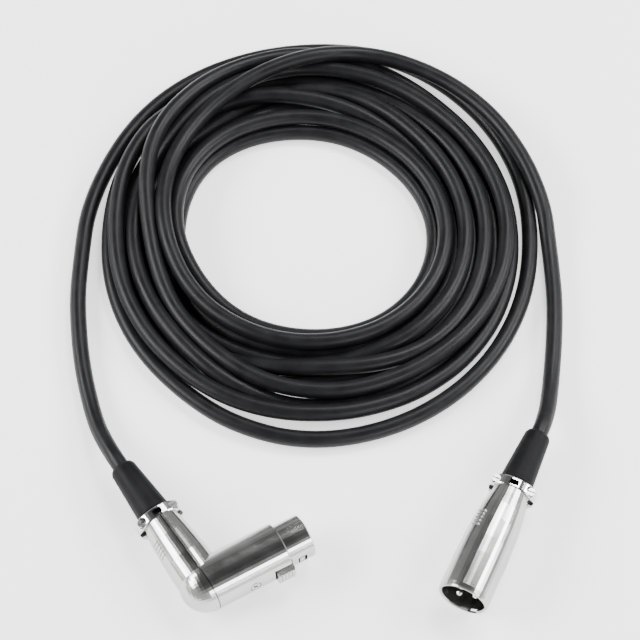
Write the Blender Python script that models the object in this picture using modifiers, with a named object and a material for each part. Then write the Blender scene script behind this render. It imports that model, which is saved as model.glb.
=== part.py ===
"""Balanced microphone cable, laid in a loose coil: a right-angle female XLR at one end,
a straight male XLR at the other.

Sizes are written in millimetres and scaled to metres by MM. The floor is z = 0, and the
origin lies on it under the middle of the two connectors. Every connector piece is made on
its own axis (local Z along the axis, local X up) and hangs under an empty that lays it down.
"""
from math import cos, radians, sin

import bmesh
import bpy
from mathutils import Matrix, Vector

MM = 0.001
GAP = 0.3                       # clearance kept between touching pieces

# Cable
CABLE_R = 3.25
WIRE_R = 0.6
COIL_CENTRE = (-9.6, 127.5)
COIL_INNER_R = 47.5
COIL_OUTER_R = 83.5
COIL_HEIGHT = 13.5
TUBE_STEP = 15.0                # spacing of a tube's points along its route

# The connectors' places on the floor, and the directions in which they point
ELBOW_CENTRE = (-45.0, -26.5)
BARREL_AZIMUTH = 29.5
ELBOW_ANGLE = 95.0
MALE_REAR = (67.1, 13.4)
MALE_AZIMUTH = -115.0
FEMALE_R = 9.6
MALE_R = 9.5

# Clamp and boot, the same at both ends. Heights are from the flange's cable side.
BOOT_LENGTH = 23.0
FLANGE_LENGTH = 5.2
SADDLE_LENGTH = 4.2
FLANGE_HEIGHT = 6.8
FLANGE_ROUNDING = 0.5
EAR_HALF_WIDTH = 8.9
EAR_HEIGHT = 2.9
CLAMP_BORE_R = 4.9
CLAMP_SCREW_Y = 6.75
CLAMP_HEAD_R = 1.6
HEAD_POCKET_R = 1.8
RIB_COUNT = 5
RIB_PITCH = 1.5
RIB_HALF_WIDTH = 1.7
RIB_HALF_LENGTH = 0.3
RIB_RISE = 0.3
FEMALE_RIB_ANGLE = 62.0
MALE_RIB_ANGLE = 44.0
NOSE_GROOVES = (-2.35, 1.35)    # their middles, across the nose's top
ARM_LENGTH = 34.0               # from the flange's cable side to the elbow's centre

# Contacts: three on a circle, the third opposite the latch
CONTACT_CIRCLE_R = 3.7
CONTACT_SPREAD = 68.0
LATCH_ANGLE = 90.0              # round the female barrel's axis, from straight up
NOTCH_ANGLE = -150.0            # where the male shell takes the latch

# Female barrel, heights from the elbow's centre
NOSE_FRONT = 40.5
NOSE_R = 8.1
BARREL_STEP = 30.3
BARREL_BORE_R = 8.2
NOSE_BORE_R = 7.0
PIVOT_Y = 6.0
PIVOT_Z = 20.5
FEMALE_SCREW_Z = 15.2
FEMALE_SCREW_ANGLE = 85.0

# Male shell, heights from the flange's cable side
MALE_LENGTH = 49.8
MOUTH_R = 8.1
MALE_INSERT_FRONT = 36.0
MALE_INSERT_REAR = 24.0
PIN_TIP = 47.6
MALE_SCREW_Z = 31.6
MALE_SCREW_ANGLE = -100.0

# The loose outer turn and the two leads: (azimuth about the coil's centre, radius, height)
LOOSE_TURN = [
    (180, 89.0, 3.25), (158, 88.0, 3.25), (135, 89.8, 3.25), (112, 93.0, 3.25), (90, 95.9, 3.25),
    (68, 98.2, 3.25), (45, 95.8, 3.25), (22, 92.4, 3.25), (0, 89.4, 3.25), (-22, 89.6, 3.25),
    (-45, 90.9, 3.25), (-68, 91.8, 3.25), (-90, 91.4, 3.25), (-108, 88.2, 3.25),
]
# From the female boot's end to the loose turn: x, y, height
FEMALE_LEAD = [
    (-80.9, 26.2, 8.9), (-84.4, 32.7, 7.0), (-88.3, 41.4, 4.8), (-91.9, 52.8, 3.5), (-95.5, 67.8, 3.25),
    (-98.1, 84.8, 3.25), (-99.4, 102.8, 3.25),
]
# From the male boot's end up the right side and over the loose turn: x, y, height
MALE_LEAD = [
    (79.2, 39.9, 8.8), (81.2, 46.5, 6.9), (83.0, 55.5, 4.7), (84.6, 66.0, 3.5), (86.4, 81.0, 3.25),
    (87.5, 97.0, 3.25), (87.4, 112.0, 3.5),
]
MALE_TURN = [
    (0, 96.2, 4.8), (8, 95.6, 7.6), (14, 94.9, 9.1), (26, 94.4, 10.1), (38, 94.6, 10.6), (52, 94.2, 10.8),
    (66, 92.8, 10.6), (77, 90.8, 10.2),
]


# ---------------------------------------------------------------- tools

def clear_scene():
    for obj in list(bpy.data.objects):
        bpy.data.objects.remove(obj, do_unlink=True)


def new_collection(name):
    found = bpy.data.collections.get(name) or bpy.data.collections.new(name)
    if found.name not in bpy.context.scene.collection.children:
        bpy.context.scene.collection.children.link(found)
    return found


def material(name, colour, metallic, roughness):
    made = bpy.data.materials.new(name)
    made.use_nodes = True
    shader = made.node_tree.nodes["Principled BSDF"]
    shader.inputs["Base Color"].default_value = (*colour, 1.0)
    shader.inputs["Metallic"].default_value = metallic
    shader.inputs["Roughness"].default_value = roughness
    made.diffuse_color = (*colour, 1.0)
    return made


def frame(name, place, axis, up=Vector((0, 0, 1))):
    """An empty whose Z lies along axis and whose X points up."""
    z = Vector(axis).normalized()
    y = z.cross(up).normalized()
    x = y.cross(z)
    matrix = Matrix((x, y, z)).transposed().to_4x4()
    matrix.translation = Vector(place) * MM
    empty = bpy.data.objects.new(name, None)
    PARTS.objects.link(empty)
    empty.matrix_world = matrix
    return empty


def add(name, mesh, parent, surface=None):
    """A part where surface is given, and otherwise a cutter."""
    obj = bpy.data.objects.new(name, mesh)
    if surface:
        PARTS.objects.link(obj)
        obj.data.materials.append(surface)
    else:
        CUTTERS.objects.link(obj)
        obj.hide_render = True
        obj.display_type = "WIRE"
    obj.parent = parent
    return obj


def from_bmesh(name, bm, parent, surface, angle=35.0):
    bmesh.ops.scale(bm, vec=(MM, MM, MM), verts=bm.verts)
    mesh = bpy.data.meshes.new(name)
    bm.to_mesh(mesh)
    bm.free()
    mesh.shade_smooth()
    mesh.set_sharp_from_angle(angle=radians(angle))
    return add(name, mesh, parent, surface)


def turned(name, outline, parent, surface=None, steps=48, closed=False):
    """Turns (radius, height) points about local Z; they run down the outer side."""
    mesh = bpy.data.meshes.new(name)
    points = [(r * MM, 0, z * MM) for r, z in outline]
    edges = [(i, i + 1) for i in range(len(points) - 1)]
    if closed:
        edges.append((len(points) - 1, 0))
    mesh.from_pydata(points, edges, [])
    obj = add(name, mesh, parent, surface)
    screw = obj.modifiers.new("turn", "SCREW")
    screw.steps = steps
    screw.render_steps = steps
    screw.use_merge_vertices = True
    screw.merge_threshold = 0.00001
    screw.use_smooth_shade = True
    return obj


def box(name, low, high, parent, surface=None, turn=0.0, centre=(0, 0, 0), round_off=0.0):
    """A block between two corners, turned about local X through centre."""
    bm = bmesh.new()
    size = [b - a for a, b in zip(low, high)]
    middle = Vector([(a + b) / 2 for a, b in zip(low, high)])
    bmesh.ops.create_cube(bm, size=1.0, matrix=Matrix.Translation(middle) @ Matrix.Diagonal((*size, 1.0)))
    if round_off:
        bmesh.ops.bevel(bm, geom=bm.edges[:], offset=round_off, segments=2, affect="EDGES", profile=0.5)
    if turn:
        bmesh.ops.rotate(bm, cent=centre, matrix=Matrix.Rotation(radians(turn), 3, "X"), verts=bm.verts)
    return from_bmesh(name, bm, parent, surface)


def rod(name, radius, start, end, parent, surface=None, sides=24):
    """A round bar between two points."""
    bm = bmesh.new()
    start, end = Vector(start), Vector(end)
    along = end - start
    place = Matrix.Translation((start + end) / 2) @ along.to_track_quat("Z", "X").to_matrix().to_4x4()
    bmesh.ops.create_cone(bm, cap_ends=True, segments=sides, radius1=radius, radius2=radius,
                          depth=along.length, matrix=place)
    return from_bmesh(name, bm, parent, surface)


def ball(name, radius, parent):
    bm = bmesh.new()
    bmesh.ops.create_uvsphere(bm, u_segments=48, v_segments=24, radius=radius)
    return from_bmesh(name, bm, parent, None)


def combine(obj, other, operation="DIFFERENCE"):
    boolean = obj.modifiers.new(operation.lower(), "BOOLEAN")
    boolean.operation = operation
    boolean.solver = "EXACT"
    boolean.object = other
    return obj


def around(angle, radius, height):
    return Vector((radius * cos(radians(angle)), radius * sin(radians(angle)), height))


def smooth_line(points, per_span=12):
    """A Catmull-Rom curve through the points."""
    ends = [2 * points[0] - points[1], *points, 2 * points[-1] - points[-2]]
    line = []
    for a, b, c, d in zip(ends, ends[1:], ends[2:], ends[3:]):
        for k in range(per_span):
            t = k / per_span
            line.append(0.5 * (2 * b + (c - a) * t + (2 * a - 5 * b + 4 * c - d) * t * t
                               + (3 * b - a - 3 * c + d) * t ** 3))
    return line + [points[-1]]


def evenly(line, step):
    """The line's points again, a step apart."""
    lengths = [0.0]
    for a, b in zip(line, line[1:]):
        lengths.append(lengths[-1] + (b - a).length)
    count = max(2, round(lengths[-1] / step))
    out, k = [], 0
    for i in range(count + 1):
        want = lengths[-1] * i / count
        while k < len(line) - 2 and lengths[k + 1] < want:
            k += 1
        span = lengths[k + 1] - lengths[k] or 1.0
        out.append(line[k].lerp(line[k + 1], (want - lengths[k]) / span))
    return out


def tube(name, points, radius, surface, resolution=3):
    """A capped round tube along points in millimetres."""
    curve = bpy.data.curves.new(name, "CURVE")
    curve.dimensions = "3D"
    curve.bevel_depth = radius * MM
    curve.bevel_resolution = resolution
    curve.use_fill_caps = True
    spline = curve.splines.new("POLY")
    spline.points.add(len(points) - 1)
    for target, point in zip(spline.points, points):
        target.co = (*(point * MM), 1.0)
    obj = bpy.data.objects.new(name, curve)
    PARTS.objects.link(obj)
    obj.data.materials.append(surface)


# ---------------------------------------------------------------- pieces both ends share

def flange_block(name, length, side, parent, surface=None):
    """Half of the clamp, which is an oval block with rounded rims; side is +1 above, -1 below."""
    bm = bmesh.new()
    place = Matrix.Translation((0, 0, length / 2)) @ Matrix.Diagonal((FLANGE_HEIGHT, EAR_HALF_WIDTH, 1, 1))
    bmesh.ops.create_cone(bm, cap_ends=True, segments=48, radius1=1, radius2=1, depth=length, matrix=place)
    rims = [edge for edge in bm.edges if abs(edge.verts[0].co.z - edge.verts[1].co.z) < length / 2]
    bmesh.ops.bevel(bm, geom=rims, offset=FLANGE_ROUNDING, segments=2, affect="EDGES", profile=0.5)
    block = from_bmesh(name, bm, parent, surface)
    far = 20.0 * side
    low, high = sorted((GAP / 2 * side, -far))
    other_half = box(name + "_other_half", (low, -12, -1), (high, 12, length + 1), parent)
    combine(block, other_half)
    return block


def screw_ways(obj, name, parent):
    """The two clamp screws' holes, through the upper half of the clamp and blind in the lower."""
    for side in (-1, 1):
        y, z = side * CLAMP_SCREW_Y, SADDLE_LENGTH / 2
        way = rod(f"{name}_{side}", 1.1, (-3.1, y, z), (8, y, z), parent, sides=20)
        combine(obj, way)


def clamp_set(end, cable_frame):
    """Saddle, its two screws and the rubber boot."""
    saddle = flange_block(f"{end}_clamp_saddle", SADDLE_LENGTH, 1, cable_frame, METAL)
    combine(saddle, rod(f"{end}_saddle_bore", CLAMP_BORE_R, (0, 0, -1), (0, 0, 6), cable_frame, sides=40))
    screw_ways(saddle, f"{end}_saddle_way", cable_frame)
    combine(saddle, box(f"{end}_saddle_window", (3, -1.7, 1.1), (9, 1.7, 3.2), cable_frame))
    for side in (-1, 1):
        y, z = side * CLAMP_SCREW_Y, SADDLE_LENGTH / 2
        pocket = rod(f"{end}_saddle_pocket_{side}", HEAD_POCKET_R, (EAR_HEIGHT, y, z), (9, y, z), cable_frame)
        combine(saddle, pocket)
    for side, word in ((-1, "right"), (1, "left")):
        y, z = side * CLAMP_SCREW_Y, SADDLE_LENGTH / 2
        shank_end = (EAR_HEIGHT + 0.6, y, z)
        screw = rod(f"{end}_clamp_screw_{word}", 0.8, (-2.7, y, z), shank_end, cable_frame, METAL)
        head = rod(f"{end}_clamp_head_{word}", CLAMP_HEAD_R, (EAR_HEIGHT + GAP, y, z),
                   (EAR_HEIGHT + 1.5, y, z), cable_frame)
        combine(screw, head, "UNION")
        slot = box(f"{end}_clamp_slot_{word}", (EAR_HEIGHT + 1.0, y - 2, z - 0.25),
                   (EAR_HEIGHT + 2, y + 2, z + 0.25), cable_frame)
        combine(screw, slot)
    bore = CABLE_R + GAP
    outline = [
        (4.55, FLANGE_LENGTH - 0.4), (4.55, -GAP), (6.0, -GAP), (6.3, -0.7), (6.3, -2.2),
        (4.9, 1.0 - BOOT_LENGTH), (4.4, -BOOT_LENGTH), (bore, -BOOT_LENGTH), (bore, FLANGE_LENGTH - 0.4),
    ]
    turned(f"{end}_boot", outline, cable_frame, RUBBER, steps=40, closed=True)


def wires(end, start_frame, start_z, ends, end_axis, reach):
    """Three cores from the cable's end to the contacts, each a smooth bend."""
    colours = (WIRE_RED, WIRE_WHITE, BARE_WIRE)
    offsets = ((1.5, 0.9), (-1.5, 0.9), (0.0, -1.7))
    matrix = start_frame.matrix_world
    turn = matrix.to_3x3()
    for i, ((x, y), target, colour) in enumerate(zip(offsets, ends, colours)):
        a = matrix @ (Vector((x, y, start_z)) * MM) / MM
        d = target
        b = a + turn @ Vector((0, 0, reach[0]))
        c = d - end_axis * reach[1]
        points = []
        for k in range(11):
            t = k / 10
            s = 1 - t
            points.append(a * s ** 3 + 3 * b * s * s * t + 3 * c * s * t * t + d * t ** 3)
        tube(f"{end}_wire_{i + 1}", points, WIRE_R, colour, resolution=1)


def insert_screw(name, angle, height, radius, parent):
    """A small screw through the shell's wall into the insert."""
    screw = rod(name, 1.0, around(angle, 6.1, height), around(angle, radius - 0.7, height), parent, METAL)
    head = rod(name + "_head", 1.8, around(angle, radius - 1.1, height), around(angle, radius - 0.15, height),
               parent)
    combine(screw, head, "UNION")
    for k, tilt in enumerate((45, 135)):
        bar = box(f"{name}_cross_{k}", (-0.25, -1.2, -0.5), (0.25, 1.2, 0.5), parent)
        bar.matrix_local = (Matrix.Translation(around(angle, radius - 0.2, height) * MM)
                            @ around(angle, 1, 0).to_track_quat("Z", "Y").to_matrix().to_4x4()
                            @ Matrix.Rotation(radians(tilt), 4, "Z"))
        combine(screw, bar)


def grip_ribs(obj, name, parent, angle, places):
    """Small raised bars across a shell's side; places are (height, the shell's radius there)."""
    for k, (z, radius) in enumerate(places):
        bar = box(f"{name}_{k}", (radius - 0.7, -RIB_HALF_WIDTH, z - RIB_HALF_LENGTH),
                  (radius + RIB_RISE, RIB_HALF_WIDTH, z + RIB_HALF_LENGTH), parent, round_off=0.12)
        bar.rotation_euler = (0, 0, radians(angle))
        combine(obj, bar, "UNION")


def screw_hole(obj, name, angle, height, radius, parent):
    """Room for an insert screw: a wide way for its head and a narrow one for its shank."""
    combine(obj, rod(name, radius, around(angle, 5.6, height), around(angle, 12, height), parent, sides=24))


# ---------------------------------------------------------------- female end

def female_contact_angles():
    return (LATCH_ANGLE - CONTACT_SPREAD, LATCH_ANGLE + CONTACT_SPREAD, LATCH_ANGLE + 180)


def elbow_shape(name, cable_frame, surface=None):
    """The arm's outer solid, from the flange to the elbow's centre."""
    rim = FLANGE_LENGTH - 0.9
    arm = [(0, ARM_LENGTH), (8.9, ARM_LENGTH), (8.7, 22), (7.9, 12), (7.0, rim), (0, rim)]
    return turned(name, arm, cable_frame, surface)


def hollow_arm(name, cable_frame):
    inside = [(0, ARM_LENGTH + 0.2), (7.4, ARM_LENGTH + 0.2), (7.2, 22), (6.4, 12), (CLAMP_BORE_R, 7.5),
              (CLAMP_BORE_R, -1), (0, -1)]
    return turned(name, inside, cable_frame)


def female_shells(barrel, cable):
    """The front body (barrel and the arm's near half) and the back cover (the rest)."""
    body = elbow_shape("female_front_body", cable, METAL)
    combine(body, flange_block("female_body_flange", FLANGE_LENGTH, -1, cable), "UNION")
    outline = [(0, NOSE_FRONT), (NOSE_R - 0.4, NOSE_FRONT), (NOSE_R, NOSE_FRONT - 0.4), (NOSE_R, BARREL_STEP),
               (FEMALE_R - 0.3, BARREL_STEP), (FEMALE_R, BARREL_STEP - 0.4), (FEMALE_R, -3), (0, -3)]
    combine(body, turned("female_barrel_outside", outline, barrel), "UNION")
    combine(body, box("female_back_room", (-15, -GAP / 2, -2), (15, 20, 60), cable))
    combine(body, hollow_arm("female_body_hollow", cable))
    bore = [(0, NOSE_FRONT + 1), (NOSE_BORE_R, NOSE_FRONT + 1), (NOSE_BORE_R, 29.2), (BARREL_BORE_R, 28.6),
            (BARREL_BORE_R, -4), (0, -4)]
    combine(body, turned("female_bore", bore, barrel))
    combine(body, box("female_button_notch", (-3.4, 5.0, 23.2), (3.4, 13, 31.0), barrel))
    combine(body, box("female_hook_window", (-1.9, 5.0, 33.4), (1.9, 10, 36.9), barrel))
    screw_hole(body, "female_body_screw_way", FEMALE_SCREW_ANGLE, FEMALE_SCREW_Z, 2.1, barrel)
    screw_ways(body, "female_body_way", cable)
    for k, y in enumerate(NOSE_GROOVES):
        combine(body, box(f"female_nose_groove_{k}", (NOSE_R - 0.65, y - 0.2, BARREL_STEP + 0.6),
                          (NOSE_R + 1, y + 0.2, NOSE_FRONT + 1), barrel))

    cover = elbow_shape("female_back_cover", cable, METAL)
    combine(cover, flange_block("female_cover_flange", FLANGE_LENGTH, -1, cable), "UNION")
    combine(cover, ball("female_heel", FEMALE_R, barrel), "UNION")
    combine(cover, box("female_front_room", (-15, -25, -2), (15, GAP / 2, 60), cable))
    combine(cover, hollow_arm("female_cover_hollow", cable))
    combine(cover, ball("female_heel_hollow", BARREL_BORE_R, barrel))
    screw_ways(cover, "female_cover_way", cable)
    places = [(11.5 + RIB_PITCH * k, 7.86 + 0.12 * k) for k in range(RIB_COUNT)]
    grip_ribs(cover, "female_rib", cable, FEMALE_RIB_ANGLE, places)


def female_inside(barrel):
    """Insert, socket contacts, latch with its pin and spring, earth clip and insert screw."""
    rear = 12.0
    front = NOSE_FRONT - 0.3
    outline = [(0, front), (6.7, front), (6.7, 28.9), (7.85, 28.2), (7.85, rear), (0, rear)]
    insert = turned("female_insert", outline, barrel, PLASTIC)
    for k, angle in enumerate(female_contact_angles()):
        start, end = around(angle, CONTACT_CIRCLE_R, 9.5), around(angle, CONTACT_CIRCLE_R, NOSE_FRONT - 1.2)
        contact = rod(f"female_contact_{k + 1}", 1.65, start, end, barrel, CONTACT_METAL)
        combine(contact, rod(f"female_socket_bore_{k}", 1.25, around(angle, CONTACT_CIRCLE_R, 26),
                             around(angle, CONTACT_CIRCLE_R, 45), barrel))
        combine(insert, rod(f"female_contact_way_{k}", 1.65 + GAP, around(angle, CONTACT_CIRCLE_R, 8),
                            around(angle, CONTACT_CIRCLE_R, 45), barrel))
    combine(insert, box("female_latch_channel", (-2.6, 4.1, 18.4), (2.6, 10, 37.6), barrel))
    combine(insert, box("female_button_pocket", (-3.4, 4.8, 23.0), (3.4, 10, 31.3), barrel))
    combine(insert, rod("female_pin_way", 0.8, (-5.4, PIVOT_Y, PIVOT_Z), (5.4, PIVOT_Y, PIVOT_Z), barrel))
    combine(insert, box("female_key_way", (-1.2, -9, 33), (1.2, -6.05, 42), barrel))
    combine(insert, box("female_clip_pocket", (-9, -2.3, 11), (-6.8, 2.3, 25), barrel))
    screw_hole(insert, "female_insert_screw_way", FEMALE_SCREW_ANGLE, FEMALE_SCREW_Z, 1.3, barrel)

    latch = rod("female_latch", 1.3, (-2.2, 0, 0), (2.2, 0, 0), barrel, METAL)
    latch.location = Vector((0, PIVOT_Y, PIVOT_Z)) * MM
    combine(latch, box("female_latch_arm", (-2.2, 5.5, PIVOT_Z), (2.2, 6.4, 36.0), barrel), "UNION")
    button = box("female_latch_button", (-3.0, 5.8, 23.7), (3.0, 11.4, 30.6), barrel, round_off=0.35)
    combine(latch, button, "UNION")
    for k in range(4):
        z = 24.9 + 1.3 * k
        combine(latch, box(f"female_latch_groove_{k}", (-4, 11.0, z - 0.25), (4, 12, z + 0.25), barrel))
    combine(latch, box("female_latch_hook", (-1.4, 5.8, 34.0), (1.4, 7.9, 36.0), barrel), "UNION")
    combine(latch, rod("female_latch_eye", 0.8, (-3, PIVOT_Y, PIVOT_Z), (3, PIVOT_Y, PIVOT_Z), barrel))
    rod("female_latch_pin", 0.5, (-4.6, PIVOT_Y, PIVOT_Z), (4.6, PIVOT_Y, PIVOT_Z), barrel, METAL)
    box("female_latch_spring", (-1.5, 4.5, 22.2), (1.5, 4.8, 26.4), barrel, SPRING_METAL, turn=4.0,
        centre=(0, 4.6, 26.4))
    box("female_earth_clip", (-7.7, -1.9, 12.4), (-7.2, 1.9, 24.4), barrel, SPRING_METAL)
    insert_screw("female_insert_screw", FEMALE_SCREW_ANGLE, FEMALE_SCREW_Z, FEMALE_R, barrel)


def female_end():
    place = Vector((*ELBOW_CENTRE, FEMALE_R))
    forward = around(BARREL_AZIMUTH, 1, 0)
    to_boot = around(BARREL_AZIMUTH + ELBOW_ANGLE, 1, 0)
    barrel = frame("female_barrel_frame", place, forward)
    cable = frame("female_cable_frame", place + to_boot * ARM_LENGTH, -to_boot)
    female_shells(barrel, cable)
    female_inside(barrel)
    clamp_set("female", cable)
    targets = [barrel.matrix_world @ (around(a, CONTACT_CIRCLE_R, 9.1) * MM) / MM
               for a in female_contact_angles()]
    wires("female", cable, 8.0, targets, forward, (15.0, 6.0))
    return cable


# ---------------------------------------------------------------- male end

def male_contact_angles():
    return (NOTCH_ANGLE - CONTACT_SPREAD, NOTCH_ANGLE + CONTACT_SPREAD, NOTCH_ANGLE + 180)


def male_end():
    forward = around(MALE_AZIMUTH, 1, 0)
    cable = frame("male_frame", (*MALE_REAR, MALE_R), forward)
    rim = FLANGE_LENGTH - 0.9
    outline = [
        (MALE_R - 0.5, MALE_LENGTH), (MALE_R - 0.15, MALE_LENGTH - 0.5), (MALE_R, MALE_LENGTH - 2.0),
        (MALE_R, 34), (9.35, 27), (8.95, 19), (8.2, 12), (7.4, 7), (7.0, rim), (CLAMP_BORE_R, rim),
        (CLAMP_BORE_R, 7.0), (6.4, 11), (MOUTH_R, 20), (MOUTH_R, MALE_LENGTH - 0.4),
        (MOUTH_R + 0.4, MALE_LENGTH),
    ]
    shell = turned("male_shell", outline, cable, METAL, closed=True)
    lower = flange_block("male_shell_flange", FLANGE_LENGTH, -1, cable)
    combine(lower, rod("male_flange_bore", CLAMP_BORE_R, (0, 0, -1), (0, 0, 6), cable, sides=40))
    combine(shell, lower, "UNION")
    screw_ways(shell, "male_shell_way", cable)
    notch = box("male_latch_notch", (-1.7, 6, MALE_LENGTH - 7.0), (1.7, 8.9, MALE_LENGTH - 3.0), cable)
    notch.rotation_euler = (0, 0, radians(NOTCH_ANGLE - 90))
    combine(shell, notch)
    lead_in = box("male_latch_lead_in", (-1.9, 6, MALE_LENGTH - 1.2), (1.9, 8.9, MALE_LENGTH + 1), cable)
    lead_in.rotation_euler = (0, 0, radians(NOTCH_ANGLE - 90))
    combine(shell, lead_in)
    key = box("male_key_ridge", (-0.9, 6.9, 37), (0.9, 8.6, MALE_LENGTH - 1.5), cable)
    key.rotation_euler = (0, 0, radians(NOTCH_ANGLE + 90))
    combine(shell, key, "UNION")
    screw_hole(shell, "male_shell_screw_way", MALE_SCREW_ANGLE, MALE_SCREW_Z, 2.1, cable)
    places = [(17.5 + RIB_PITCH * k, 8.85 + 0.08 * k) for k in range(RIB_COUNT)]
    grip_ribs(shell, "male_rib", cable, MALE_RIB_ANGLE, places)

    block = [(0, MALE_INSERT_FRONT), (7.4, MALE_INSERT_FRONT), (7.75, MALE_INSERT_FRONT - 0.4),
             (7.75, MALE_INSERT_REAR), (0, MALE_INSERT_REAR)]
    insert = turned("male_insert", block, cable, PLASTIC)
    for k, angle in enumerate(male_contact_angles()):
        outline = [(0, PIN_TIP), (0.7, PIN_TIP - 0.1), (1.2, PIN_TIP - 0.8), (1.2, MALE_INSERT_REAR - 5),
                   (0, MALE_INSERT_REAR - 5)]
        pin = turned(f"male_pin_{k + 1}", outline, cable, CONTACT_METAL, steps=24)
        pin.location = around(angle, CONTACT_CIRCLE_R, 0) * MM
        combine(insert, rod(f"male_pin_way_{k}", 1.2 + GAP, around(angle, CONTACT_CIRCLE_R, 10),
                            around(angle, CONTACT_CIRCLE_R, 45), cable))
    combine(insert, box("male_clip_pocket", (-9, -2.3, 20), (-6.8, 2.3, 34), cable))
    screw_hole(insert, "male_insert_screw_way", MALE_SCREW_ANGLE, MALE_SCREW_Z, 1.3, cable)
    box("male_earth_clip", (-7.6, -1.9, 24.2), (-7.1, 1.9, 33.4), cable, SPRING_METAL)
    insert_screw("male_insert_screw", MALE_SCREW_ANGLE, MALE_SCREW_Z, MALE_R, cable)
    clamp_set("male", cable)
    targets = [cable.matrix_world @ (around(a, CONTACT_CIRCLE_R, MALE_INSERT_REAR - 5.4) * MM) / MM
               for a in male_contact_angles()]
    wires("male", cable, 8.0, targets, forward, (3.5, 3.5))
    return cable


# ---------------------------------------------------------------- cable

def on_ring(azimuth, radius, height):
    return around(azimuth, radius, height) + Vector((*COIL_CENTRE, 0))


def lead_start(cable_frame):
    """The jacket's end inside the connector, and the straight run through clamp and boot."""
    heights = (7.5, 0.0, -BOOT_LENGTH, -BOOT_LENGTH - 3)
    return [cable_frame.matrix_world @ (Vector((0, 0, z)) * MM) / MM for z in heights]


def cable_solids(female_cable, male_cable):
    """The bundle of turns as one turned ring, and the two loose leads as tubes."""
    soft = 2.0
    outline = [
        (COIL_INNER_R + soft, COIL_HEIGHT), (COIL_OUTER_R - 6, COIL_HEIGHT),
        (COIL_OUTER_R - 1.5, COIL_HEIGHT - 4), (COIL_OUTER_R, 6.5), (COIL_OUTER_R, 2.0),
        (COIL_OUTER_R - 1.5, 0), (COIL_INNER_R + soft, 0),
        (COIL_INNER_R, 2.0), (COIL_INNER_R, COIL_HEIGHT - soft),
    ]
    centre = bpy.data.objects.new("coil_frame", None)
    PARTS.objects.link(centre)
    centre.location = (COIL_CENTRE[0] * MM, COIL_CENTRE[1] * MM, 0)
    turned("cable_coil", outline, centre, JACKET, steps=72, closed=True)
    female = lead_start(female_cable) + [Vector(p) for p in FEMALE_LEAD] + [on_ring(*p) for p in LOOSE_TURN]
    tube("cable_female_lead", evenly(smooth_line(female), TUBE_STEP), CABLE_R, JACKET)
    male = lead_start(male_cable) + [Vector(p) for p in MALE_LEAD] + [on_ring(*p) for p in MALE_TURN]
    tube("cable_male_lead", evenly(smooth_line(male), TUBE_STEP), CABLE_R, JACKET)


clear_scene()
PARTS = new_collection("xlr_cable_coil")
CUTTERS = new_collection("cutters")
METAL = material("satin_nickel", (0.72, 0.71, 0.70), 1.0, 0.28)
CONTACT_METAL = material("contact_plating", (0.80, 0.79, 0.77), 1.0, 0.2)
SPRING_METAL = material("spring_steel", (0.55, 0.55, 0.56), 1.0, 0.35)
PLASTIC = material("insert_plastic", (0.015, 0.015, 0.016), 0.0, 0.45)
RUBBER = material("boot_rubber", (0.02, 0.02, 0.021), 0.0, 0.6)
JACKET = material("cable_jacket", (0.018, 0.018, 0.019), 0.0, 0.42)
WIRE_RED = material("core_red", (0.45, 0.03, 0.03), 0.0, 0.5)
WIRE_WHITE = material("core_white", (0.75, 0.75, 0.72), 0.0, 0.5)
BARE_WIRE = material("screen_braid", (0.72, 0.45, 0.25), 1.0, 0.4)
cable_solids(female_end(), male_end())
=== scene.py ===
"""The looks of a coiled XLR cable: its jacket at full length, its metal shells and their finishes."""

import math

import bpy
import numpy as np
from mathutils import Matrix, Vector


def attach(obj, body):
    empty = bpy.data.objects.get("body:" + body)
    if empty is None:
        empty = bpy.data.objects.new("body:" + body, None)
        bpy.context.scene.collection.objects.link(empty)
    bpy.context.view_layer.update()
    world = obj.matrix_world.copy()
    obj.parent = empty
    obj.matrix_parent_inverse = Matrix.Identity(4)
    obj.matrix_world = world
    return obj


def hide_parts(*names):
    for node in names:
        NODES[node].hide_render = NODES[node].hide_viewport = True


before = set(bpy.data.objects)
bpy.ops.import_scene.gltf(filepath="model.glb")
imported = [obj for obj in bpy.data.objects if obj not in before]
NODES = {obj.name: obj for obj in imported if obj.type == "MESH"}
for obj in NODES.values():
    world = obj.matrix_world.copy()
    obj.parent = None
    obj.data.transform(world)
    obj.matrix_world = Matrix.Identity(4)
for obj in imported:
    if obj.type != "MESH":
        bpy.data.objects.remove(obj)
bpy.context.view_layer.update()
MM = 0.001

# The camera, in metres and degrees
CAMERA_AIM = (-0.0044, 0.0909, 0.0)
CAMERA_DISTANCE = 0.757
CAMERA_ELEVATION = 58.0
CAMERA_LENS = 108.6
SENSOR = 36.0

# The studio: brightness of the world at heights and depths from 0 to 1 of the way to straight up or back
WORLD_BY_HEIGHT = ((0.0, 0.9), (0.45, 0.8), (0.62, 0.5), (0.78, 0.15), (0.88, 0.05), (1.0, 0.05))
WORLD_BY_DEPTH = ((0.0, 1.0), (0.40, 1.0), (0.65, 0.45), (0.85, 0.4), (1.0, 0.8))
WORLD_STRENGTH = 1.0
FLOOR_GLOW = 1.1
PLASTIC_SHINE = {"boot_rubber": 0.08, "cable_jacket": 0.17}
OTHER_SHINE = 0.36
LAMP_AIM = (0, 0.08, 0)
# Each lamp's name, place, width and height in metres, and power in watts
LAMPS = (
    ("left_softbox", (-0.85, 0.1, 0.55), (0.9, 0.35), 20),
    ("right_softbox", (0.85, 0.2, 0.6), (0.7, 0.3), 13),
    ("top_softbox", (0.3, 0.55, 0.85), (0.45, 0.3), 9),
    ("front_softbox", (0.55, -0.75, 0.45), (0.5, 0.25), 6),
)
FLOOR_HALF = 3.0
FLOOR_COLOUR = (0.93, 0.93, 0.93)
FLOOR_ROUGHNESS = 0.6

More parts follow.
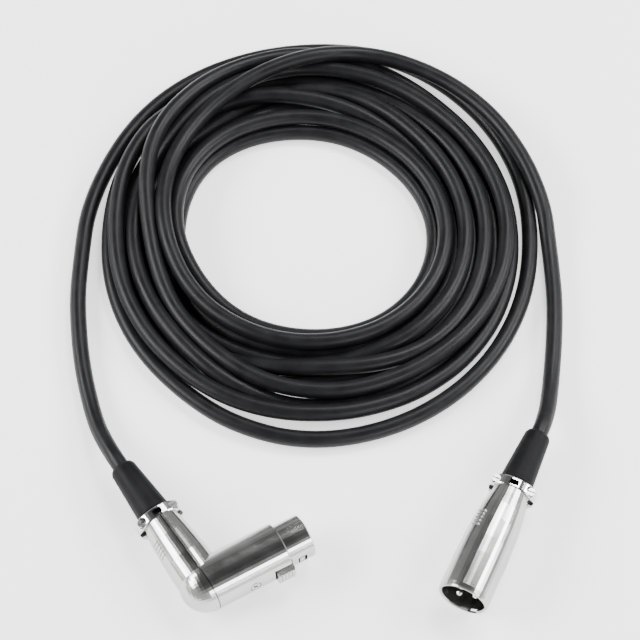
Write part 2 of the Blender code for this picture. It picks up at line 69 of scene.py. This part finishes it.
# Noise that clouds the colour and the gloss, in features per metre, and the range of it that is spread out
CLOUD_SCALE = 140.0
CLOUD_DETAIL = 3.0
GRAIN_DETAIL = 4.0
GRAIN_DEPTH = 0.00005
NOISE_LOW = 0.3
NOISE_HIGH = 0.7
# Each finish: darkest and lightest colour, metallic, roughness from and to, grain per metre, grain strength
FINISHES = {
    "satin_nickel": ((0.46, 0.455, 0.45), (0.52, 0.515, 0.51), 1, (0.18, 0.23), 5200, 0.10),
    "polished_nickel": ((0.66, 0.655, 0.65), (0.71, 0.705, 0.70), 1, (0.12, 0.17), 7000, 0.02),
    "screw_steel": ((0.55, 0.55, 0.56), (0.66, 0.66, 0.67), 1, (0.22, 0.34), 6000, 0.12),
    "contact_plating": ((0.76, 0.75, 0.73), (0.83, 0.82, 0.80), 1, (0.12, 0.2), 7000, 0.05),
    "spring_steel": ((0.42, 0.42, 0.43), (0.55, 0.55, 0.56), 1, (0.28, 0.4), 6000, 0.12),
    "insert_plastic": ((0.010, 0.010, 0.011), (0.018, 0.018, 0.019), 0, (0.38, 0.5), 6000, 0.15),
    "boot_rubber": ((0.005, 0.005, 0.006), (0.009, 0.009, 0.010), 0, (0.46, 0.58), 5000, 0.30),
    "cable_jacket": ((0.005, 0.005, 0.006), (0.009, 0.009, 0.010), 0, (0.36, 0.46), 4200, 0.22),
    "core_red": ((0.36, 0.02, 0.02), (0.48, 0.04, 0.035), 0, (0.4, 0.5), 4000, 0.1),
    "core_white": ((0.66, 0.66, 0.63), (0.78, 0.78, 0.75), 0, (0.4, 0.5), 4000, 0.1),
    "screen_braid": ((0.55, 0.32, 0.17), (0.74, 0.46, 0.26), 1, (0.3, 0.45), 5000, 0.3),
}

# The cable, in metres; the two leads repeat the part's own routes
CABLE_R = 0.00325
CABLE_D = 2 * CABLE_R
LAYER_RISE = 0.0056
COIL_CENTRE = (-0.0096, 0.1275)
FEMALE_LEAD = [
    (-0.0809, 0.0262, 0.00890), (-0.0844, 0.0327, 0.00700), (-0.0883, 0.0414, 0.00480),
    (-0.0919, 0.0528, 0.00350), (-0.0955, 0.0678, 0.00325), (-0.0981, 0.0848, 0.00325),
    (-0.0994, 0.1028, 0.00325),
]
MALE_LEAD = [
    (0.0792, 0.0399, 0.00880), (0.0812, 0.0465, 0.00690), (0.0830, 0.0555, 0.00470),
    (0.0846, 0.0660, 0.00350), (0.0864, 0.0810, 0.00325), (0.0875, 0.0970, 0.00325),
    (0.0874, 0.1120, 0.00350),
]
# Azimuth in degrees, radius and height in metres
LOOSE_TURN = [
    (180, 0.0890, 0.00325), (158, 0.0880, 0.00325), (135, 0.0898, 0.00325), (112, 0.0930, 0.00325),
    (90, 0.0959, 0.00325), (68, 0.0982, 0.00325), (45, 0.0958, 0.00325), (22, 0.0924, 0.00325),
    (0, 0.0894, 0.00325), (-22, 0.0896, 0.00325), (-45, 0.0909, 0.00325), (-68, 0.0918, 0.00325),
    (-90, 0.0914, 0.00325), (-108, 0.0882, 0.00325), (-135, 0.0820, 0.00325),
]
MALE_TURN = [
    (77, 0.0908, 0.0102), (66, 0.0928, 0.0106), (52, 0.0942, 0.0108), (38, 0.0946, 0.0106),
    (26, 0.0944, 0.0101), (14, 0.0949, 0.0091), (8, 0.0956, 0.0076), (0, 0.0962, 0.0048),
]
# Each turn of the bundle: its radius in millimetres and its layer at every eighth of a turn, clockwise from
# the left, as left, upper left, top, upper right, right, lower right, bottom, lower left
BUNDLE = [
    ((78, 84, 87, 79, 76, 78, 79, 70), (0, 0, 0, 0, 0, 0, 0, 1)),
    ((68, 73, 82, 80, 80, 77, 73.5, 64), (1, 1, 1, 1, 1, 1, 1, 1)),
    ((61, 78, 89, 84, 80, 80, 79.5, 77), (1.6, 1.6, 1, 0, 0, 0.4, 1, 1)),
    ((77, 85, 81, 73, 71, 71, 63, 67), (1, 1, 0, 1, 1, 1, 1, 0)),
    ((66, 70, 72, 65, 64, 64, 60, 61), (0, 0, 1, 1, 1, 1, 0, 0)),
    ((59, 63, 68, 68, 67, 65, 66.5, 73), (0, 0, 0, 0, 0, 0, 0, 0)),
    ((73, 76, 67, 61, 60, 59, 54, 54.5), (0, 0.5, 1, 0.5, 0, 0, 0, 0)),
    ((51.5, 56, 54, 52, 52, 50, 47, 47.8), (0, 0, 0, 0, 0, 0, 0, 0)),
    ((53.5, 57.5, 57, 55, 54.5, 54, 53, 53), (1, 1, 1, 1, 1, 1, 1, 1)),
    ((57, 68, 84), (2, 1.7, 1.9)),
]
EIGHTH = 45
COURSE_STEPS = 8
RING_STEP = 0.012
CABLE_STEP = 0.003
FIXED_POINTS = 14
BEVEL_STEPS = 5

# How the turns settle: rounds, pull back to the laid line, sinking per round, pushes per round, how often
# neighbours are looked for and how near they count, points next door that don't, how far a push goes, and
# how many points a push is blurred over, early and in the last part of the rounds
SETTLE_ROUNDS = 400
HOLD = 0.02
SINK = 0.00005
PUSHES = 3
LOOK_EVERY = 10
NEAR = 1.3
NEXT_DOOR = 5
PUSH_SHARE = 1.2
EARLY_BLUR = 5.0
LATE_BLUR = 3.0
LATE_FROM = 0.7

# The two connectors, as the part places them
ELBOW_CENTRE = (-0.0450, -0.0265)
BARREL_AZIMUTH = 29.5
ELBOW_ANGLE = 95.0
ARM_LENGTH = 0.034
FEMALE_R = 0.0096
MALE_REAR = (0.0671, 0.0134)
MALE_AZIMUTH = -115.0
MALE_R = 0.0095
BOOT_LENGTH = 0.023
CABLE_INSIDE = 0.0075

# Finish of the carried-over pieces: edges sharper than this many degrees are rounded by this much
SHARP_ANGLE = 35
EDGE_WIDTH = 0.00012
EDGE_STEPS = 2
# The finish of a piece by a word of its name, satin_nickel where there is none, and of a core by its number
LOOK_BY_WORD = {
    "boot": "boot_rubber", "insert": "insert_plastic", "saddle": "polished_nickel",
    "contact": "contact_plating", "pin": "contact_plating", "spring": "spring_steel", "clip": "spring_steel",
}
LOOK_BY_CORE = {"1": "screen_braid", "2": "core_red", "3": "core_white"}
# Pieces whose names end so are too thin to round
UNROUNDED = ("1", "2", "3", "spring")


def heading(azimuth):
    return Vector((math.cos(math.radians(azimuth)), math.sin(math.radians(azimuth)), 0))


# ---------------------------------------------------------------- camera, floor and light


def add_camera():
    camera = bpy.data.objects.new("camera", bpy.data.cameras.new("camera"))
    bpy.context.collection.objects.link(camera)
    tilt = math.radians(CAMERA_ELEVATION)
    back = Vector((0, -math.cos(tilt), math.sin(tilt)))
    camera.location = Vector(CAMERA_AIM) + CAMERA_DISTANCE * back
    camera.rotation_euler = back.to_track_quat("Z", "Y").to_euler()
    camera.data.lens = CAMERA_LENS
    camera.data.sensor_width = SENSOR
    bpy.context.scene.camera = camera


def add_light(name, place, size, power):
    light = bpy.data.lights.new(name, "AREA")
    light.shape = "RECTANGLE"
    light.size, light.size_y = size
    light.energy = power
    lamp = bpy.data.objects.new(name, light)
    lamp.location = place
    lamp.rotation_euler = (Vector(place) - Vector(LAMP_AIM)).to_track_quat("Z", "Y").to_euler()
    bpy.context.collection.objects.link(lamp)


def add_world():
    """Bright low down, dark overhead and dimmer behind, so that the metal has something to mirror."""
    world = bpy.data.worlds.new("studio")
    bpy.context.scene.world = world
    world.use_nodes = True
    nodes, links = world.node_tree.nodes, world.node_tree.links
    place = nodes.new("ShaderNodeTexCoord")
    split = nodes.new("ShaderNodeSeparateXYZ")
    links.new(place.outputs["Generated"], split.inputs["Vector"])
    shades = []
    for axis, stops in (("Z", WORLD_BY_HEIGHT), ("Y", WORLD_BY_DEPTH)):
        holder = nodes.new("ShaderNodeValToRGB")
        ramp = holder.color_ramp
        while len(ramp.elements) < len(stops):
            ramp.elements.new(0.5)
        for element, (position, shade) in zip(ramp.elements, stops):
            element.position = position
            element.color = (shade, shade, shade, 1)
        links.new(split.outputs[axis], holder.inputs["Fac"])
        shades.append(holder.outputs["Color"])
    both = nodes.new("ShaderNodeMixRGB")
    both.blend_type = "MULTIPLY"
    both.inputs["Fac"].default_value = 1.0
    links.new(shades[0], both.inputs["Color1"])
    links.new(shades[1], both.inputs["Color2"])
    links.new(both.outputs["Color"], nodes["Background"].inputs["Color"])
    nodes["Background"].inputs["Strength"].default_value = WORLD_STRENGTH


def add_studio():
    add_world()
    for name, place, size, power in LAMPS:
        add_light(name, place, size, power)


def add_floor():
    far = FLOOR_HALF
    mesh = bpy.data.meshes.new("floor")
    mesh.from_pydata([(-far, -far, 0), (far, -far, 0), (far, far, 0), (-far, far, 0)], [], [(0, 1, 2, 3)])
    floor = bpy.data.objects.new("floor", mesh)
    bpy.context.collection.objects.link(floor)
    look, shader = new_material("floor_white", FLOOR_COLOUR, 0.0, FLOOR_ROUGHNESS)
    shader.inputs["Emission Color"].default_value = (1, 1, 1, 1)
    shader.inputs["Emission Strength"].default_value = FLOOR_GLOW
    mesh.materials.append(look)


# ---------------------------------------------------------------- materials


def new_material(name, colour, metallic, roughness):
    look = bpy.data.materials.new(name)
    look.use_nodes = True
    shader = look.node_tree.nodes["Principled BSDF"]
    shader.inputs["Base Color"].default_value = (*colour, 1)
    shader.inputs["Metallic"].default_value = metallic
    shader.inputs["Roughness"].default_value = roughness
    return look, shader


def add_noise(look, scale, detail):
    """A noise in the object's own coordinates, in features per metre."""
    nodes, links = look.node_tree.nodes, look.node_tree.links
    place = nodes.new("ShaderNodeTexCoord")
    noise = nodes.new("ShaderNodeTexNoise")
    noise.inputs["Scale"].default_value = scale
    noise.inputs["Detail"].default_value = detail
    links.new(place.outputs["Object"], noise.inputs["Vector"])
    return noise.outputs["Fac"]


def spread(look, fac, low, high, socket):
    """Sends a noise to a shader socket, from low to high."""
    nodes, links = look.node_tree.nodes, look.node_tree.links
    change = nodes.new("ShaderNodeMapRange")
    change.inputs["From Min"].default_value = NOISE_LOW
    change.inputs["From Max"].default_value = NOISE_HIGH
    change.inputs["To Min"].default_value = low
    change.inputs["To Max"].default_value = high
    links.new(fac, change.inputs["Value"])
    links.new(change.outputs["Result"], socket)


def tint(look, fac, dark, light, socket):
    """Sends a noise to a colour socket, from dark to light."""
    nodes, links = look.node_tree.nodes, look.node_tree.links
    ramp = nodes.new("ShaderNodeValToRGB")
    ramp.color_ramp.elements[0].position = NOISE_LOW
    ramp.color_ramp.elements[1].position = NOISE_HIGH
    ramp.color_ramp.elements[0].color = (*dark, 1)
    ramp.color_ramp.elements[1].color = (*light, 1)
    links.new(fac, ramp.inputs["Fac"])
    links.new(ramp.outputs["Color"], socket)


def roughen(look, shader, fac, strength):
    """Gives a finish a grain from a noise."""
    nodes, links = look.node_tree.nodes, look.node_tree.links
    bump = nodes.new("ShaderNodeBump")
    bump.inputs["Strength"].default_value = strength
    bump.inputs["Distance"].default_value = GRAIN_DEPTH
    links.new(fac, bump.inputs["Height"])
    links.new(bump.outputs["Normal"], shader.inputs["Normal"])


def surface(name, dark, light, metallic, rough, grain, bump):
    """A finish with cloudy colour, uneven gloss and a fine grain: grain is features per metre."""
    look, shader = new_material(name, light, metallic, sum(rough) / 2)
    cloud = add_noise(look, CLOUD_SCALE, CLOUD_DETAIL)
    fine = add_noise(look, grain, GRAIN_DETAIL)
    tint(look, cloud, dark, light, shader.inputs["Base Color"])
    spread(look, cloud, rough[0], rough[1], shader.inputs["Roughness"])
    roughen(look, shader, fine, bump)
    if not metallic:
        shader.inputs["Specular IOR Level"].default_value = PLASTIC_SHINE.get(name, OTHER_SHINE)
    return look


def make_looks():
    return {name: surface(name, *finish) for name, finish in FINISHES.items()}


# ---------------------------------------------------------------- the cable


def smooth_line(points, steps):
    """A Catmull-Rom line through the points, with so many steps between each two."""
    p = np.asarray(points, float)
    p = np.vstack([2 * p[0] - p[1], p, 2 * p[-1] - p[-2]])
    t = (np.arange(steps) / steps)[:, None]
    spans = [
        0.5 * (2 * b + (c - a) * t + (2 * a - 5 * b + 4 * c - d) * t**2 + (3 * (b - c) + d - a) * t**3)
        for a, b, c, d in zip(p, p[1:], p[2:], p[3:])
    ]
    return np.vstack([*spans, p[-2:-1]])


def evenly(points, step):
    gaps = np.linalg.norm(np.diff(points, axis=0), axis=1)
    along = np.concatenate([[0], np.cumsum(gaps)])
    places = np.linspace(0, along[-1], int(round(along[-1] / step)) + 1)
    return np.stack([np.interp(places, along, points[:, k]) for k in range(3)], -1)


def straight_end(rear, azimuth, height):
    """The cable's end inside a connector, and the straight run through its clamp and boot."""
    way = heading(azimuth)
    reach = (CABLE_INSIDE, 0.0, -BOOT_LENGTH, -BOOT_LENGTH - CABLE_R)
    return [(rear[0] + way.x * r, rear[1] + way.y * r, height) for r in reach]


def wound_turns():
    """The coil's whole course as azimuth, radius and height, clockwise from the left as seen from above."""
    course = [list(knot) for knot in LOOSE_TURN]
    azimuth = LOOSE_TURN[-1][0]
    for radii, layers in BUNDLE:
        for radius, layer in zip(radii, layers):
            azimuth -= EIGHTH
            course.append([azimuth, radius * MM, CABLE_R + layer * LAYER_RISE])
    top = azimuth - 90
    course += [[top + knot[0], knot[1], knot[2]] for knot in MALE_TURN]
    return np.array(course)


def blurred(values, width):
    """The values smoothed along the line, width points wide."""
    reach = int(3 * width)
    weight = np.exp(-0.5 * (np.arange(-reach, reach + 1) / width) ** 2)
    weight /= weight.sum()
    padded = np.vstack([np.repeat(values[:1], reach, 0), values, np.repeat(values[-1:], reach, 0)])
    return np.stack([np.convolve(padded[:, k], weight, "valid") for k in range(3)], -1)


def settle(line):
    """Turns inside each other push apart, sink onto what is under them, and stay long smooth bends."""
    start, p, count = line.copy(), line.copy(), len(line)
    from_end = np.minimum(np.arange(count), np.arange(count)[::-1])
    loose = np.clip((from_end - FIXED_POINTS) / FIXED_POINTS, 0, 1)[:, None]
    for turn in range(SETTLE_ROUNDS):
        if turn % LOOK_EVERY == 0:
            gap = np.abs(p[:, None, :2] - p[None, :, :2]).max(axis=2)
            i, j = np.nonzero(gap < CABLE_D * NEAR)
            i, j = i[j - i > NEXT_DOOR], j[j - i > NEXT_DOOR]
        p[:, :2] += HOLD * (start[:, :2] - p[:, :2])
        p[:, 2] = np.maximum(p[:, 2] - SINK, CABLE_R)
        for _ in range(PUSHES):
            away = p[j] - p[i]
            far = np.linalg.norm(away, axis=1)
            close = far < CABLE_D
            push = away[close] * ((CABLE_D - far[close]) / np.maximum(far[close], 1e-9) / 2)[:, None]
            move, shares = np.zeros_like(p), np.zeros(count)
            for side, way in ((i[close], -1), (j[close], 1)):
                np.add.at(move, side, way * push)
                np.add.at(shares, side, 1)
            p += PUSH_SHARE * move / np.maximum(shares, 1)[:, None]
            p[:, 2] = np.maximum(p[:, 2], CABLE_R)
        width = EARLY_BLUR if turn < LATE_FROM * SETTLE_ROUNDS else LATE_BLUR
        p = start + blurred(p - start, width) * loose
    return p


def cable_route():
    course = smooth_line(wound_turns(), COURSE_STEPS)
    angle = np.radians(course[:, 0])
    radius = course[:, 1]
    across = COIL_CENTRE[0] + radius * np.cos(angle)
    away = COIL_CENTRE[1] + radius * np.sin(angle)
    ring = np.stack([across, away, course[:, 2]], -1)
    arm = heading(BARREL_AZIMUTH + ELBOW_ANGLE) * ARM_LENGTH
    female_rear = (ELBOW_CENTRE[0] + arm.x, ELBOW_CENTRE[1] + arm.y)
    female = straight_end(female_rear, BARREL_AZIMUTH + ELBOW_ANGLE + 180, FEMALE_R) + FEMALE_LEAD
    male = straight_end(MALE_REAR, MALE_AZIMUTH, MALE_R) + MALE_LEAD
    whole = np.vstack([female, evenly(ring, RING_STEP), male[::-1]])
    return settle(evenly(smooth_line(whole, COURSE_STEPS), CABLE_STEP))


def add_cable(looks):
    route = cable_route()
    curve = bpy.data.curves.new("cable", "CURVE")
    curve.dimensions = "3D"
    curve.bevel_depth = CABLE_R
    curve.bevel_resolution = BEVEL_STEPS
    curve.use_fill_caps = True
    line = curve.splines.new("POLY")
    line.points.add(len(route) - 1)
    line.points.foreach_set("co", np.hstack([route, np.ones((len(route), 1))]).ravel())
    line.use_smooth = True
    curve.materials.append(looks["cable_jacket"])
    cable = bpy.data.objects.new("cable", curve)
    bpy.context.collection.objects.link(cable)
    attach(cable, "cable")
    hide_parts("cable_coil", "cable_female_lead", "cable_male_lead")


# ---------------------------------------------------------------- carried-over CAD pieces


def finish_nodes(looks):
    """Gives each CAD piece that stays its finish, smooth faces and small rounded edges."""
    for name, node in NODES.items():
        if node.hide_render:
            continue
        words = name.split("_")
        look = "satin_nickel"
        for word in words:
            look = LOOK_BY_WORD.get(word, look)
        if "wire" in words:
            look = LOOK_BY_CORE[words[-1]]
        if "screw" in words or name == "female_latch_pin":
            look = "screw_steel"
        node.data.materials.clear()
        node.data.materials.append(looks[look])
        node.data.shade_smooth()
        node.data.set_sharp_from_angle(angle=math.radians(SHARP_ANGLE))
        if words[-1] not in UNROUNDED:
            edge = node.modifiers.new("edge", "BEVEL")
            edge.width = EDGE_WIDTH
            edge.segments = EDGE_STEPS
            edge.limit_method = "ANGLE"
            edge.angle_limit = math.radians(SHARP_ANGLE)


add_camera()
LOOKS = make_looks()
add_cable(LOOKS)
add_floor()
add_studio()
finish_nodes(LOOKS)
